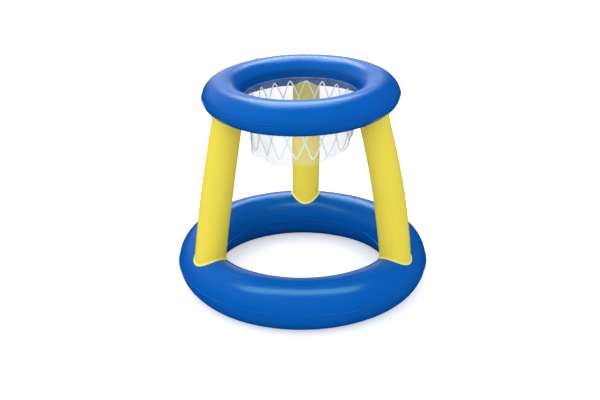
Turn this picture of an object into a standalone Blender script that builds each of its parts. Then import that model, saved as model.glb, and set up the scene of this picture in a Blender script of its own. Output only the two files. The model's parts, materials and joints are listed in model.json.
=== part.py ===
# Floating basketball hoop, welded from vinyl sheets and inflated.
# Metres, +Z up. The origin is on the floor at the centre of the base ring, and the front is at -Y.

from math import asin, atan2, copysign, cos, hypot, pi, radians, sin

import bmesh
import bpy
from mathutils import Matrix, Vector

# Sheets and welds
sheet_wall = 0.0003
film_wall = 0.0002
clearance = 0.0003
weld_gap = 0.0006
seam_gap = 0.0003
seam_flange = 0.0025
pinch_power = 1.9

# Base ring, pressed flat where it stands
base_outer_diameter = 0.610
base_tube_width = 0.1077
base_tube_height = 0.1205
base_floor_press = 0.003
base_arc_rows = 9
base_press_rows = 3

# Hoop ring, which leans a little on its posts
hoop_outer_diameter = 0.456
hoop_tube_width = 0.0913
hoop_tube_height = 0.0761
hoop_centre_height = 0.4715
hoop_side_shift = -0.0020
hoop_front_lean = radians(1.62)
hoop_side_lean = radians(-1.06)
hoop_arc_rows = 8
ring_steps = 48

# Inner seams: how far the hanging skirt pulls one in and down, and its flange's length and droop
inner_seams = {
    "base": {"inset": 0, "drop": 0, "flange": seam_flange, "droop": 0},
    "hoop": {"inset": 0.0031, "drop": 0.0038, "flange": 0.0027, "droop": radians(55)},
}
seam_pull_start = radians(150)

# Posts: how far round each tube a mouth reaches, and how far each post bows outwards
post_foot_diameter = 0.0710
post_head_diameter = 0.067
post_belly = 0.0015
post_foot_reach = radians(40.2)
post_head_reach = radians(58.5)
post_foot_lip = 0.0045
post_head_lip = 0.003
post_places = {
    "rear_post": {"foot": radians(87.7), "head": radians(85.8), "bow": 0.005, "inner_reach": radians(43.5)},
    "left_post": {"foot": radians(210), "head": radians(206.5), "bow": 0.00275, "inner_reach": radians(50)},
    "right_post": {"foot": radians(330), "head": radians(330), "bow": 0.0085, "inner_reach": radians(50)},
}
post_row_shares = (1, 0.93, 0.78, 0.6, 0.4, 0.22, 0.07, 0)
post_fill_share = 0.15
post_columns = 28
vent_diameter = 0.020
vent_columns = 16

# Net skirt: drops are measured down from the hoop ring's seam, insets from the weld's lower edge
film_weld_inset = 0.0006
film_peak_inset = 0.0022
film_hem_inset = 0.0127
net_margin = 0.005
net_sag = 0.0254
film_hem = 0.0149
film_hem_shift = 0.0045
film_hem_tilt = 0.007
film_hem_rise = 0.0075
fold_count = 9
fold_azimuth = radians(245)
fold_depth = 0.003
fold_fall = 0.002
hem_easing = 6
film_columns = 96

# Printed net on the inside of the skirt
net_repeats = 20
net_azimuth = radians(83.8)
net_line = 0.0038
diamond_half_height = 0.0405
net_thickness = 0.0003
net_gap = 0.0007

# Safety valves, one for each air chamber, measured up from the sheet
valve_places = {
    "base_valve": {"azimuth": radians(60), "around": radians(40)},
    "hoop_valve": {"azimuth": radians(120), "around": radians(40)},
}
valve_bore = 0.006
valve_wall = 0.0015
valve_travel = 0.012
flange_diameter = 0.026
flange_thickness = 0.0008
collar_wall = 0.0018
collar_height = 0.0017
rim_thickness = 0.0012
stop_width = 0.0011
stop_thickness = 0.0012
hole_clearance = 0.0007
cap_thickness = 0.001
plug_length = 0.004
plug_narrowing = 0.0009
strap_length = 0.0014
strap_width = 0.004
strap_thickness = 0.0007
lug_overhang = 0.0006
lug_inset = 0.0002
tab_length = 0.003
flap_overlap = 0.0009
flap_thickness = 0.0004
flap_strap_width = 0.003
flap_strap_length = 0.0011
flap_strap_thickness = 0.0003
valve_columns = 20
cutter_overrun = 0.004

# Colours as the vinyl shows them, with roughness and alpha
finishes = {
    "blue_vinyl": {"colour": (0.004, 0.100, 0.440), "roughness": 0.28, "alpha": 1.0},
    "yellow_vinyl": {"colour": (0.820, 0.680, 0.075), "roughness": 0.34, "alpha": 1.0},
    "clear_film": {"colour": (0.850, 0.870, 0.900), "roughness": 0.20, "alpha": 0.25},
    "white_print": {"colour": (0.900, 0.910, 0.930), "roughness": 0.45, "alpha": 1.0},
    "valve_plastic": {"colour": (0.720, 0.750, 0.780), "roughness": 0.40, "alpha": 1.0},
}

for old in list(bpy.data.objects):
    bpy.data.objects.remove(old)

model = bpy.data.collections.new("floating_basketball_hoop")
tools = bpy.data.collections.new("cutters")
bpy.context.scene.collection.children.link(model)
bpy.context.scene.collection.children.link(tools)


# Objects and modifiers

def make_material(name, finish):
    material = bpy.data.materials.new(name + "_" + finish)
    material.use_nodes = True
    shader = material.node_tree.nodes["Principled BSDF"]
    shader.inputs["Base Color"].default_value = (*finishes[finish]["colour"], 1)
    shader.inputs["Roughness"].default_value = finishes[finish]["roughness"]
    shader.inputs["Metallic"].default_value = 0
    shader.inputs["Alpha"].default_value = finishes[finish]["alpha"]
    return material


def make_empty(name, matrix):
    empty = bpy.data.objects.new(name, None)
    empty.empty_display_size = seam_flange
    empty.matrix_world = matrix
    model.objects.link(empty)
    return empty


def make_piece(name, mesh, finish, parent=None):
    piece = bpy.data.objects.new(name, mesh)
    piece.parent = parent
    model.objects.link(piece)
    mesh.materials.append(make_material(name, finish))
    return piece


def make_tool(name, mesh, parent=None):
    tool = bpy.data.objects.new(name, mesh)
    tool.parent = parent
    tool.hide_render = True
    tool.display_type = "WIRE"
    tools.objects.link(tool)
    return tool


def mesh_from(name, work):
    mesh = bpy.data.meshes.new(name)
    work.to_mesh(mesh)
    work.free()
    mesh.shade_smooth()
    return mesh


def turn_profile(piece, steps, axle=None):
    screw = piece.modifiers.new("turned", "SCREW")
    screw.axis = "Z"
    screw.object = axle
    screw.angle = 2 * pi
    screw.steps = steps
    screw.render_steps = steps
    screw.use_merge_vertices = True
    screw.merge_threshold = clearance / 10


def give_wall(piece, thickness):
    wall = piece.modifiers.new("wall", "SOLIDIFY")
    wall.thickness = thickness
    wall.offset = -1
    wall.use_even_offset = True


def combine(piece, tool, operation):
    boolean = piece.modifiers.new(tool.name, "BOOLEAN")
    boolean.operation = operation
    boolean.solver = "EXACT"
    boolean.object = tool


def profile_mesh(name, points, closed):
    work = bmesh.new()
    corners = [work.verts.new((out, 0, up)) for out, up in points]
    pairs = list(zip(corners, corners[1:]))
    if closed:
        pairs.append((corners[-1], corners[0]))
    for pair in pairs:
        work.edges.new(pair)
    return mesh_from(name, work)


def box_mesh(name, low, high):
    work = bmesh.new()
    bmesh.ops.create_cube(work, size=1)
    low, high = Vector(low), Vector(high)
    for corner in work.verts:
        share = corner.co + Vector((0.5, 0.5, 0.5))
        corner.co = low + Vector(a * b for a, b in zip(share, high - low))
    return mesh_from(name, work)


def cut_hole(piece, name, diameter, columns, matrix):
    work = bmesh.new()
    bmesh.ops.create_cone(
        work, cap_ends=True, segments=columns,
        radius1=diameter / 2, radius2=diameter / 2, depth=2 * cutter_overrun,
    )
    cutter = make_tool(name, mesh_from(name, work))
    cutter.matrix_world = matrix
    combine(piece, cutter, "DIFFERENCE")


# A closed band spun up from a line or loop of corners, each vertex then moved to its own place

def spun_band(name, columns, corners, closed, place):
    work = bmesh.new()
    first = [work.verts.new((1, 0, -index)) for index in range(corners)]
    pairs = list(zip(first, first[1:]))
    if closed:
        pairs.append((first[-1], first[0]))
    edges = [work.edges.new(pair) for pair in pairs]
    bmesh.ops.spin(
        work, geom=first + edges, cent=(0, 0, 0), axis=(0, 0, 1),
        angle=2 * pi, steps=columns, use_merge=True,
    )
    for vertex in work.verts:
        azimuth = atan2(vertex.co.y, vertex.co.x)
        vertex.co = place(azimuth, round(-vertex.co.z))
    return mesh_from(name, work)


# Rings: each is a tube about a circle, a little pinched towards its two seams

def make_ring(outer_diameter, tube_width, tube_height, frame, inner_seam):
    return {
        "radius": (outer_diameter - tube_width) / 2,
        "half_width": tube_width / 2,
        "half_height": tube_height / 2,
        "frame": frame,
        "inner_seam": inner_seam,
    }


def pinched(share):
    return copysign(abs(share) ** (2 / pinch_power), share)


def unpinched(share):
    return copysign(abs(share) ** (pinch_power / 2), share)


def section_point(ring, around, proud=0.0):
    across, up = pinched(cos(around)), pinched(sin(around))
    slope = pinch_power - 1
    normal = Vector((
        copysign(abs(across) ** slope, across) / ring["half_width"],
        copysign(abs(up) ** slope, up) / ring["half_height"],
    )).normalized()
    return Vector((across * ring["half_width"], up * ring["half_height"])) + normal * proud


def ring_point(ring, azimuth, around, proud=0.0):
    out, up = section_point(ring, around, proud)
    reach = ring["radius"] + out
    return ring["frame"] @ Vector((reach * cos(azimuth), reach * sin(azimuth), up))


hoop_lean = Matrix.Rotation(hoop_side_lean, 4, "Y") @ Matrix.Rotation(hoop_front_lean, 4, "X")
base_frame = Matrix.Translation((0, 0, base_tube_height / 2 - base_floor_press))
hoop_frame = Matrix.Translation((hoop_side_shift, 0, hoop_centre_height)) @ hoop_lean
base_ring = make_ring(
    base_outer_diameter, base_tube_width, base_tube_height, base_frame, inner_seams["base"]
)
hoop_ring = make_ring(
    hoop_outer_diameter, hoop_tube_width, hoop_tube_height, hoop_frame, inner_seams["hoop"]
)
base_centre = make_empty("base_ring_centre", base_frame)
hoop_centre = make_empty("hoop_ring_centre", hoop_frame)
sheet_rise = seam_gap / 2 + sheet_wall


def inner_flange_point(ring, along, offset):
    # Along the inner flange from the seam, and off the seam's middle, as reach and height
    seam = ring["inner_seam"]
    reach = ring["radius"] - ring["half_width"] - seam["inset"]
    return (
        reach - along * cos(seam["droop"]) - offset * sin(seam["droop"]),
        offset * cos(seam["droop"]) - along * sin(seam["droop"]) - seam["drop"],
    )


def panel_profile(ring, side, arounds, press=0.0):
    # side is 1 for the upper panel and -1 for the lower one, whose bottom may be pressed flat
    tall = ring["half_height"]
    floor = press - tall
    seam = ring["inner_seam"]
    points = []
    for around in arounds:
        out, up = section_point(ring, around)
        pull = (max(abs(around) - seam_pull_start, 0) / (pi - seam_pull_start)) ** 2
        height = side * sheet_rise + up * (tall - sheet_rise) / tall
        reach = ring["radius"] + out - seam["inset"] * pull
        points.append((reach, max(height - seam["drop"] * pull, floor)))
    # The inner seam is the upper panel's first point and the lower panel's last
    points = points[::side]
    points[0] = inner_flange_point(ring, 0, side * sheet_rise)
    inner = inner_flange_point(ring, seam["flange"], side * sheet_rise)
    outer = (ring["radius"] + ring["half_width"] + seam_flange, side * sheet_rise)
    return ([inner] + points + [outer])[::side]


def make_panel(name, profile, centre):
    panel = make_piece(name, profile_mesh(name, profile, False), "blue_vinyl", centre)
    turn_profile(panel, ring_steps)
    give_wall(panel, sheet_wall)
    return panel


def upper_arounds(rows):
    return [pi * (1 - row / rows) for row in range(rows + 1)]


def lower_arounds(rows):
    return [-pi * row / rows for row in range(rows + 1)]


def pressed_arounds(ring, press, rows):
    # Down each side to where the pressed flat starts, and straight across between
    tall = ring["half_height"]
    depth = asin(unpinched((tall - press - sheet_rise) / (tall - sheet_rise)))
    outer_side = [-depth * row / rows for row in range(rows + 1)]
    inner_side = [-pi - around for around in reversed(outer_side)]
    return outer_side + inner_side


base_upper = make_panel(
    "base_ring_upper_panel",
    panel_profile(base_ring, 1, upper_arounds(base_arc_rows)),
    base_centre,
)
base_lower = make_panel(
    "base_ring_lower_panel",
    panel_profile(
        base_ring, -1, pressed_arounds(base_ring, base_floor_press, base_press_rows), base_floor_press
    ),
    base_centre,
)
hoop_upper = make_panel(
    "hoop_ring_upper_panel",
    panel_profile(hoop_ring, 1, upper_arounds(hoop_arc_rows)),
    hoop_centre,
)
hoop_lower = make_panel(
    "hoop_ring_lower_panel",
    panel_profile(hoop_ring, -1, lower_arounds(hoop_arc_rows)),
    hoop_centre,
)


# Posts: tubes whose mouths lie on the two rings and end in turned-out welding lips

def make_mouth(ring, side, diameter, outer_reach, inner_reach, lip):
    # side is 1 for a foot on top of the ring's tube and -1 for a head under it
    return {
        "ring": ring,
        "side": side,
        "radius": diameter / 2,
        "outer_half": ring["half_width"] * pinched(sin(outer_reach)),
        "inner_half": ring["half_width"] * pinched(sin(inner_reach)),
        "lip": lip,
    }


def half_width(mouth, turn):
    return mouth["outer_half"] if cos(turn) > 0 else mouth["inner_half"]


def mouth_point(mouth, azimuth, turn, spread=0.0):
    # spread is how far the lip is turned out over the ring
    ring = mouth["ring"]
    out = half_width(mouth, turn) * cos(turn)
    along = mouth["radius"] * sin(turn)
    beside = hypot(ring["radius"] + out, along) - ring["radius"]
    slant = asin(unpinched(beside / ring["half_width"]))
    shift = atan2(along, ring["radius"] + out)
    reach_across = slant * (ring["half_width"] + ring["half_height"]) / 2
    length = hypot(reach_across, shift * ring["radius"])
    grown = (length + spread) / length
    around = mouth["side"] * (pi / 2 - slant * grown)
    return ring_point(ring, azimuth + shift * grown, around, weld_gap + sheet_wall)


def between(foot_value, head_value, share):
    return foot_value + (head_value - foot_value) * share


def make_post(name, post_place):
    foot_azimuth, head_azimuth = post_place["foot"], post_place["head"]
    foot_mouth = make_mouth(
        base_ring, 1, post_foot_diameter, post_foot_reach, post_place["inner_reach"], post_foot_lip
    )
    head_mouth = make_mouth(
        hoop_ring, -1, post_head_diameter, post_head_reach, post_head_reach, post_head_lip
    )
    facing = (foot_azimuth + head_azimuth) / 2
    outward = Vector((cos(facing), sin(facing), 0))
    sideways = Vector((-sin(facing), cos(facing), 0))
    wall_rows = len(post_row_shares)

    def place(turn, row):
        if row == 0:
            return mouth_point(head_mouth, head_azimuth, turn, head_mouth["lip"])
        if row == wall_rows + 1:
            return mouth_point(foot_mouth, foot_azimuth, turn, foot_mouth["lip"])
        share = post_row_shares[row - 1]
        foot = mouth_point(foot_mouth, foot_azimuth, turn)
        head = mouth_point(head_mouth, head_azimuth, turn)
        wall = between(foot, head, share)
        radius = between(foot_mouth["radius"], head_mouth["radius"], share)
        flatness = radius - between(half_width(foot_mouth, turn), half_width(head_mouth, turn), share)
        filled = max(sin(pi * share), 0) ** post_fill_share
        belly = post_belly * sin(pi * share)
        push = (flatness * filled + belly) * cos(turn) + post_place["bow"] * 4 * share * (1 - share)
        return wall + outward * push + sideways * belly * sin(turn)

    mesh = spun_band(name, post_columns, wall_rows + 2, False, place)
    post = make_piece(name, mesh, "yellow_vinyl")
    give_wall(post, sheet_wall)
    return post


for post_name, post_place in post_places.items():
    make_post(post_name, post_place)
    crest = Matrix.Translation(ring_point(base_ring, post_place["foot"], pi / 2))
    cut_hole(base_upper, post_name + "_vent", vent_diameter, vent_columns, crest)


# Net skirt: its top is welded on the hoop's inner flange, and it folds towards its hem

def weld_row(along):
    # The flat facets between the hoop's steps lie nearer to its middle than its corners
    reach, height = inner_flange_point(hoop_ring, along, sheet_rise + clearance)
    return reach * cos(pi / ring_steps), -height


weld_top, weld_bottom = weld_row(film_weld_inset), weld_row(inner_seams["hoop"]["flange"])
peak_drop = weld_bottom[1] + net_margin
cross_drop = peak_drop + net_line / 2 + diamond_half_height
point_drop = cross_drop + diamond_half_height + net_line / 2
hem_drop = point_drop + film_hem


def hanging_share(drop):
    return max(drop - peak_drop, 0) / (hem_drop - peak_drop)


def hanging_row(drop):
    inset = film_peak_inset + (film_hem_inset - film_peak_inset) * hanging_share(drop)
    return weld_bottom[0] - inset, drop


film_rows = (
    weld_top,
    weld_bottom,
    hanging_row(peak_drop),
    hanging_row(cross_drop),
    hanging_row(point_drop),
    hanging_row(hem_drop),
)


def film_row_point(azimuth, row, inset=0.0):
    reach, drop = film_rows[row]
    if drop < peak_drop:
        return Vector((reach * cos(azimuth), reach * sin(azimuth), -drop))
    # The print sags round the front, and the hem waves, shifts, tilts and rises at its sides
    share = hanging_share(drop)
    ease = share ** hem_easing
    wave = cos(fold_count * (azimuth - fold_azimuth))
    front = (1 - sin(azimuth)) / 2
    radius = reach + fold_depth * wave * share - inset
    fall = drop + net_sag * front * front * (3 - 2 * front)
    side = cos(azimuth)
    fall += (fold_fall * wave - film_hem_tilt * side) * ease
    fall -= film_hem_rise * side * side * max(drop - point_drop, 0) / film_hem
    return Vector((radius * cos(azimuth) - film_hem_shift * ease, radius * sin(azimuth), -fall))


def film_point(azimuth, drop, inset):
    # A point beside the film, between two of its rows
    row = max(index for index in range(len(film_rows) - 1) if film_rows[index][1] <= drop)
    start, end = film_rows[row][1], film_rows[row + 1][1]
    above = film_row_point(azimuth, row, inset)
    below = film_row_point(azimuth, row + 1, inset)
    return above.lerp(below, (drop - start) / (end - start))


film_mesh = spun_band("net_film", film_columns, len(film_rows), False, film_row_point)
film = make_piece("net_film", film_mesh, "clear_film", hoop_centre)
give_wall(film, film_wall)


# Printed net: one row of diamonds, drawn flat in half pitches and drops, then laid on the film

def net_cell():
    half_run = hanging_row(cross_drop)[0] * pi / net_repeats
    slope = hypot(half_run, diamond_half_height)
    half_tall = net_line / 2 * slope / half_run
    half_wide = net_line / 2 * slope / diamond_half_height / half_run
    tip = (half_tall - net_line / 2) / diamond_half_height
    points = {
        "peak_left": (-tip, peak_drop),
        "peak_right": (tip, peak_drop),
        "peak_notch": (0, peak_drop + net_line / 2 + half_tall),
        "cross_top": (1, cross_drop - half_tall),
        "cross_left": (1 - half_wide, cross_drop),
        "cross_right": (1 + half_wide, cross_drop),
        "cross_bottom": (1, cross_drop + half_tall),
        "point_notch": (0, point_drop - net_line / 2 - half_tall),
        "point_left": (-tip, point_drop),
        "point_right": (tip, point_drop),
    }
    # A plus sign marks a corner of the next cell
    faces = (
        ("peak_left", "peak_notch", "peak_right"),
        ("peak_right", "peak_notch", "cross_left", "cross_top"),
        ("cross_top", "cross_right", "peak_notch+", "peak_left+"),
        ("cross_top", "cross_left", "cross_bottom", "cross_right"),
        ("cross_left", "point_notch", "point_right", "cross_bottom"),
        ("cross_bottom", "point_left+", "point_notch+", "cross_right"),
        ("point_notch", "point_left", "point_right"),
    )
    return points, faces


def make_net(name):
    points, faces = net_cell()
    work = bmesh.new()
    corners = {}

    def corner(label, repeat):
        key = (label.rstrip("+"), repeat + label.count("+"))
        if key not in corners:
            pitches, drop = points[key[0]]
            corners[key] = work.verts.new((pitches + 2 * key[1], drop, 0))
        return corners[key]

    for repeat in range(net_repeats):
        for face in faces:
            work.faces.new([corner(label, repeat) for label in face])
    arms = [
        edge for edge in work.edges
        if abs(edge.verts[0].co.y - edge.verts[1].co.y) > diamond_half_height / 2
    ]
    bmesh.ops.subdivide_edges(work, edges=arms, cuts=1, use_grid_fill=True)
    inset = film_wall + net_gap
    for vertex in work.verts:
        azimuth = net_azimuth + vertex.co.x * pi / net_repeats
        vertex.co = film_point(azimuth, vertex.co.y, inset)
    bmesh.ops.remove_doubles(work, verts=work.verts, dist=net_gap / 10)
    net = make_piece(name, mesh_from(name, work), "white_print", hoop_centre)
    give_wall(net, net_thickness)


make_net("net_lattice")


# Safety valves: a welded flange, a stem that slides in its collar, a cap and a check flap

bore_radius = valve_bore / 2
stem_radius = bore_radius + valve_wall
collar_bore = stem_radius + clearance
collar_radius = collar_bore + collar_wall
stop_radius = stem_radius + stop_width
hole_diameter = 2 * (stop_radius + hole_clearance)
flange_top = clearance + flange_thickness
collar_top = flange_top + collar_height
rim_bottom = collar_top + clearance
rim_top = rim_bottom + rim_thickness
stop_top = -valve_travel - clearance
stop_bottom = stop_top - stop_thickness
plate_bottom = rim_top + clearance
cap_axis = (collar_radius + strap_length, 0, plate_bottom + cap_thickness / 2)
flap_radius = bore_radius + flap_overlap
flap_top = stop_bottom - clearance
flap_axis = (flap_radius + flap_strap_length, 0, flap_top - flap_thickness / 2)


def valve_frame(ring, azimuth, around):
    # X runs along the ring, Y round its tube and Z straight out of the sheet
    origin = ring_point(ring, azimuth, around)
    out = (ring_point(ring, azimuth, around, clearance) - origin).normalized()
    lean = ring["frame"].to_3x3()
    along = lean @ Vector((-sin(azimuth), cos(azimuth), 0))
    round_tube = out.cross(along)
    axes = Matrix((along, round_tube, out)).transposed()
    return Matrix.Translation(origin) @ axes.to_4x4()


def make_flange(name, ring, azimuth, around, centre):
    # Its disc follows the sheet, and its collar stands square to the valve's axis
    step = clearance / ring["half_width"]
    speed = (ring_point(ring, azimuth, around + step) - ring_point(ring, azimuth, around)).length / step
    reach = ring["radius"] + section_point(ring, around).x
    flange_radius = flange_diameter / 2
    middle = (collar_radius + flange_radius) / 2
    to_valve = centre.matrix_world.inverted()
    corners = (
        (collar_bore, clearance, True),
        (collar_bore, collar_top, False),
        (collar_radius, collar_top, False),
        (collar_radius, flange_top, True),
        (middle, flange_top, True),
        (flange_radius, flange_top, True),
        (flange_radius, clearance, True),
        (middle, clearance, True),
    )

    def place(turn, index):
        radius, height, follows = corners[index]
        along, beside = radius * cos(turn), radius * sin(turn)
        if not follows:
            return Vector((along, beside, height))
        return to_valve @ ring_point(ring, azimuth + along / reach, around + beside / speed, height)

    mesh = spun_band(name, valve_columns, len(corners), True, place)
    make_piece(name, mesh, "valve_plastic", centre)


def make_turned(name, profile, closed, origin, centre):
    # Turned about the valve's axis, with its own origin on its slide or hinge
    mesh = profile_mesh(name, profile, closed)
    mesh.transform(Matrix.Translation(-Vector(origin)))
    piece = make_piece(name, mesh, "valve_plastic", centre)
    piece.location = origin
    turn_profile(piece, valve_columns, centre)
    return piece


def add_strap(piece, centre, low, high):
    name = piece.name + "_strap"
    combine(piece, make_tool(name, box_mesh(name, low, high), centre), "UNION")


def make_stem(name, centre):
    profile = (
        (bore_radius, rim_top),
        (collar_radius, rim_top),
        (collar_radius, rim_bottom),
        (stem_radius, rim_bottom),
        (stem_radius, stop_top),
        (stop_radius, stop_top),
        (stop_radius, stop_bottom),
        (bore_radius, stop_bottom),
    )
    stem = make_turned(name, profile, True, (0, 0, 0), centre)
    low = (stem_radius, -strap_width / 2, rim_bottom + lug_inset)
    high = (cap_axis[0] + lug_overhang, strap_width / 2, rim_top - lug_inset)
    add_strap(stem, centre, low, high)


def make_cap(name, centre):
    plug_radius = bore_radius - clearance
    plug_bottom = rim_top - plug_length
    plate_top = plate_bottom + cap_thickness
    chamfer = cap_thickness / 4
    profile = (
        (0, plate_top),
        (collar_radius - chamfer, plate_top),
        (collar_radius, plate_top - chamfer),
        (collar_radius, plate_bottom),
        (plug_radius, plate_bottom),
        (plug_radius - plug_narrowing / 3, (plate_bottom + plug_bottom) / 2),
        (plug_radius - plug_narrowing, plug_bottom),
        (0, plug_bottom),
    )
    cap = make_turned(name, profile, False, cap_axis, centre)
    low = (-collar_radius - tab_length, -strap_width / 2, cap_axis[2] - strap_thickness / 2)
    high = (cap_axis[0], strap_width / 2, cap_axis[2] + strap_thickness / 2)
    add_strap(cap, centre, low, high)


def make_flap(name, centre):
    profile = (
        (0, flap_top),
        (flap_radius, flap_top),
        (flap_radius, flap_top - flap_thickness),
        (0, flap_top - flap_thickness),
    )
    flap = make_turned(name, profile, False, flap_axis, centre)
    low = (0, -flap_strap_width / 2, flap_axis[2] - flap_strap_thickness / 2)
    high = (flap_axis[0], flap_strap_width / 2, flap_axis[2] + flap_strap_thickness / 2)
    add_strap(flap, centre, low, high)


def make_valve(name, ring, panel, azimuth, around):
    frame = valve_frame(ring, azimuth, around)
    centre = make_empty(name + "_centre", frame)
    cut_hole(panel, name + "_hole", hole_diameter, valve_columns, frame)
    make_flange(name + "_flange", ring, azimuth, around, centre)
    make_stem(name + "_stem", centre)
    make_cap(name + "_cap", centre)
    make_flap(name + "_flap", centre)


for valve_name, ring, panel in (
    ("base_valve", base_ring, base_upper),
    ("hoop_valve", hoop_ring, hoop_upper),
):
    valve_place = valve_places[valve_name]
    make_valve(valve_name, ring, panel, valve_place["azimuth"], valve_place["around"])
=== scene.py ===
import json
from math import cos, pi, radians, sin

import bpy
import numpy as np
from mathutils import Matrix, Vector


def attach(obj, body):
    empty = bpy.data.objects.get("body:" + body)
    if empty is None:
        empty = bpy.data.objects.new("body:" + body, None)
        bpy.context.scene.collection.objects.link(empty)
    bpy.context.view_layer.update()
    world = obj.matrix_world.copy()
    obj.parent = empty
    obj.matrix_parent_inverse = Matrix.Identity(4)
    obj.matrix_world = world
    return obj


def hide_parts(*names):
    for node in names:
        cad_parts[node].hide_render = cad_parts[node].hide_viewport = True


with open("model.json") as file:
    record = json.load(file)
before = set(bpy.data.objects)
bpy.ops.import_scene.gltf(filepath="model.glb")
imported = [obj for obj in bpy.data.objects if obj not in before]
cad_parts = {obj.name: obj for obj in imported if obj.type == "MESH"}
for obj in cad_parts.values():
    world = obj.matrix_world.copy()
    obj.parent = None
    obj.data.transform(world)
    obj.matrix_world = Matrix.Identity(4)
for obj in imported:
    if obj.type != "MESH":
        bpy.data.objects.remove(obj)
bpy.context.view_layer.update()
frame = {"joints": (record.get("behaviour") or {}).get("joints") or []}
print("Frame loaded")


# Working with objects

nearby = 1e-6
smoothAngle = 40


def leaveEditMode():
    if bpy.context.object and bpy.context.object.mode != "OBJECT":
        bpy.ops.object.mode_set(mode="OBJECT")


def deselectAll():
    leaveEditMode()
    bpy.ops.object.select_all(action="DESELECT")


def pickOnly(piece):
    deselectAll()
    piece.select_set(True)
    bpy.context.view_layer.objects.active = piece


def newPiece(name):
    # Names the primitive that was added last
    piece = bpy.context.object
    piece.name = name
    piece.data.name = name
    return piece


def editAll(piece):
    pickOnly(piece)
    bpy.ops.object.mode_set(mode="EDIT")
    bpy.ops.mesh.select_mode(type="VERT")
    bpy.ops.mesh.select_all(action="SELECT")


def closeSkin():
    # Merges the points that coincide and turns every face outwards
    bpy.ops.mesh.select_all(action="SELECT")
    bpy.ops.mesh.remove_doubles(threshold=nearby)
    bpy.ops.mesh.normals_make_consistent(inside=False)
    leaveEditMode()


def editWhere(piece, isWanted):
    # Edit mode with only the points selected that the test wants
    editAll(piece)
    bpy.ops.mesh.select_all(action="DESELECT")
    bpy.ops.object.mode_set(mode="OBJECT")
    for vertex in piece.data.vertices:
        vertex.select = isWanted(vertex.co)
    bpy.ops.object.mode_set(mode="EDIT")


def applyModifiers(piece):
    pickOnly(piece)
    for modifier in list(piece.modifiers):
        bpy.ops.object.modifier_apply(modifier=modifier.name)


def applyPlace(piece):
    pickOnly(piece)
    bpy.ops.object.transform_apply(location=True, rotation=True, scale=True)


def pointsOf(piece):
    flat = np.zeros(len(piece.data.vertices) * 3)
    piece.data.vertices.foreach_get("co", flat)
    return flat.reshape(-1, 3)


def setPoints(piece, points):
    piece.data.vertices.foreach_set("co", np.asarray(points, np.float32).ravel())
    piece.data.update()


def setMask(piece, name, values):
    mask = piece.data.attributes.new(name, "FLOAT", "POINT")
    mask.data.foreach_set("value", np.asarray(values, np.float32))


def giveWall(piece, thickness):
    wall = piece.modifiers.new("wall", "SOLIDIFY")
    wall.thickness = thickness
    wall.offset = -1
    wall.use_even_offset = True
    applyModifiers(piece)


def cutWith(piece, cutter, operation="DIFFERENCE"):
    boolean = piece.modifiers.new("cut", "BOOLEAN")
    boolean.operation = operation
    boolean.solver = "EXACT"
    boolean.object = cutter
    applyModifiers(piece)
    bpy.data.objects.remove(cutter)


def finishPiece(piece, material, slot, body, *nodes):
    pickOnly(piece)
    bpy.ops.object.shade_smooth_by_angle(angle=radians(smoothAngle))
    piece.data.materials.clear()
    piece.data.materials.append(material)
    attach(piece, body)
    if nodes:
        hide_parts(*nodes)


def smoothRamp(values, start, end):
    share = np.clip((values - start) / (end - start), 0, 1)
    return share * share * (3 - 2 * share)


def ripple(turn, seed, counts):
    # Uneven waves round a closed line, about -1 to 1
    chance = np.random.default_rng(seed)
    total = np.zeros_like(turn)
    for count in counts:
        total += chance.uniform(0.6, 1) * np.cos(count * turn + chance.uniform(0, 2 * pi))
    return total / len(counts) ** 0.5


# Camera, at the place and lens that the photograph's outlines give

cameraView = {
    "place": (-0.0056, -1.8672, 1.0049),
    "pitchDown": 23.3118,
    "roll": -0.35,
    "lens": 50.14,
}


def makeCamera(view):
    deselectAll()
    bpy.ops.object.camera_add(location=view["place"])
    camera = bpy.context.object
    camera.name = "photoCamera"
    tilt = Matrix.Rotation(radians(90 - view["pitchDown"]), 4, "X")
    camera.rotation_euler = (tilt @ Matrix.Rotation(radians(view["roll"]), 4, "Z")).to_euler()
    camera.data.sensor_width = 36
    camera.data.lens = view["lens"]
    camera.data.dof.use_dof = False
    bpy.context.scene.camera = camera


makeCamera(cameraView)
print("Camera placed")


# Materials

vinylLook = {
    "blue": {
        "base": (0.0003, 0.110, 0.500), "weld": (0.003, 0.132, 0.530),
        "sheen": (0.43, 1.0, 0.55), "roughness": 0.24,
    },
    "yellow": {
        "base": (0.900, 0.750, 0.080), "weld": (0.900, 0.880, 0.280),
        "sheen": (1.0, 1.0, 0.9), "roughness": 0.34,
    },
    "toneScale": 5.0,
    "toneAmount": 0.14,
    # How much darker the fold is painted: painted shade beside the skirt's weld
    "foldPaintedShade": 0.35,
    "hazeScale": 38.0,
    "hazeAmount": 0.10,
    "weldDullness": 0.10,
    "grainScale": 1500.0,
    "grainDepth": 0.00002,
    "grainStrength": 0.5,
    "refraction": 1.45,
    "shine": 0.2,
}


def addNode(tree, kind, **settings):
    node = tree.nodes.new("ShaderNode" + kind)
    for name, value in settings.items():
        setattr(node, name, value)
    return node


def addMath(tree, operation, first, second):
    # Either side is an output to link or a plain number
    node = addNode(tree, "Math", operation=operation)
    for socket, value in zip(node.inputs, (first, second)):
        if isinstance(value, bpy.types.NodeSocket):
            tree.links.new(value, socket)
        else:
            socket.default_value = value
    return node.outputs[0]


def addNoise(tree, coordinates, scale, detail):
    noise = addNode(tree, "TexNoise")
    noise.inputs["Detail"].default_value = detail
    tree.links.new(coordinates, noise.inputs["Vector"])
    if isinstance(scale, bpy.types.NodeSocket):
        tree.links.new(scale, noise.inputs["Scale"])
    else:
        noise.inputs["Scale"].default_value = scale
    return noise.outputs["Fac"]


def setInputs(node, values):
    for name, value in values.items():
        node.inputs[name].default_value = value


def newMaterial(name):
    material = bpy.data.materials.new(name)
    material.use_nodes = True
    tree = material.node_tree
    return material, tree, tree.nodes["Principled BSDF"]


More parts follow.
